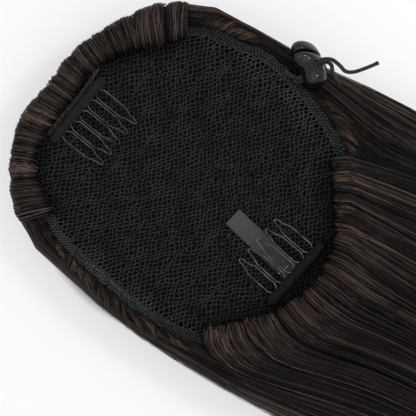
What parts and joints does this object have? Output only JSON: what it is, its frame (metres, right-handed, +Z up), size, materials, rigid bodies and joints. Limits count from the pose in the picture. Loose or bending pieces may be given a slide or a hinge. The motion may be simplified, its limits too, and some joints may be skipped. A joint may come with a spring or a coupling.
{
  "type": "drawstring ponytail hairpiece",
  "caption": "Clip-on ponytail hairpiece: knitted net cap with wire combs, elastic drawstring and cord lock, hair rolled over its rim and running to long tips.",
  "frame": {"origin": "middle of the hairpiece's footprint, on the surface it lies on; the cap's middle is at x -0.1801, y -0.0162", "axes": "+X from the cap towards the tips of the hair, +Z up out of the cap's hollow, +Y towards the cord lock's side"},
  "size_m": [0.5256, 0.1796, 0.06],
  "materials": {
    "hair": "soft sheen, dark brown straight fibre",
    "net": "matte knitted mesh, black",
    "comb_cloth": "matte woven tape, charcoal",
    "comb_steel": "dull grey spring wire",
    "label_satin": "satin ribbon, charcoal",
    "lock_plastic": "gloss black",
    "drawstring": "matte braided elastic, charcoal"
  },
  "bodies": {
    "hairpiece": {"net_cap": "net", "elastic_casing": "net", "hair_pad": "hair", "front_hair_roll": "hair", "side_hair_right": "hair", "side_hair_left": "hair", "tail_hair": "hair", "front_comb_wire": "comb_steel", "front_comb_bar": "comb_cloth", "back_comb_wire": "comb_steel", "back_comb_bar": "comb_cloth", "ribbon_label": "label_satin", "cord_lock_body": "lock_plastic", "drawstring_left": "drawstring", "drawstring_right": "drawstring", "cord_end_far": "drawstring", "cord_end_near": "drawstring"},
    "lock_button": {"cord_lock_button": "lock_plastic"}
  },
  "joints": [
    {"name": "button_press", "type": "slide", "parent": "hairpiece", "child": "lock_button", "axis": [0.6589, -0.5299, 0.5339], "range_m": [0, 0.0025], "stiffness_N_per_m": 300, "springref_m": -0.003}
  ]
}
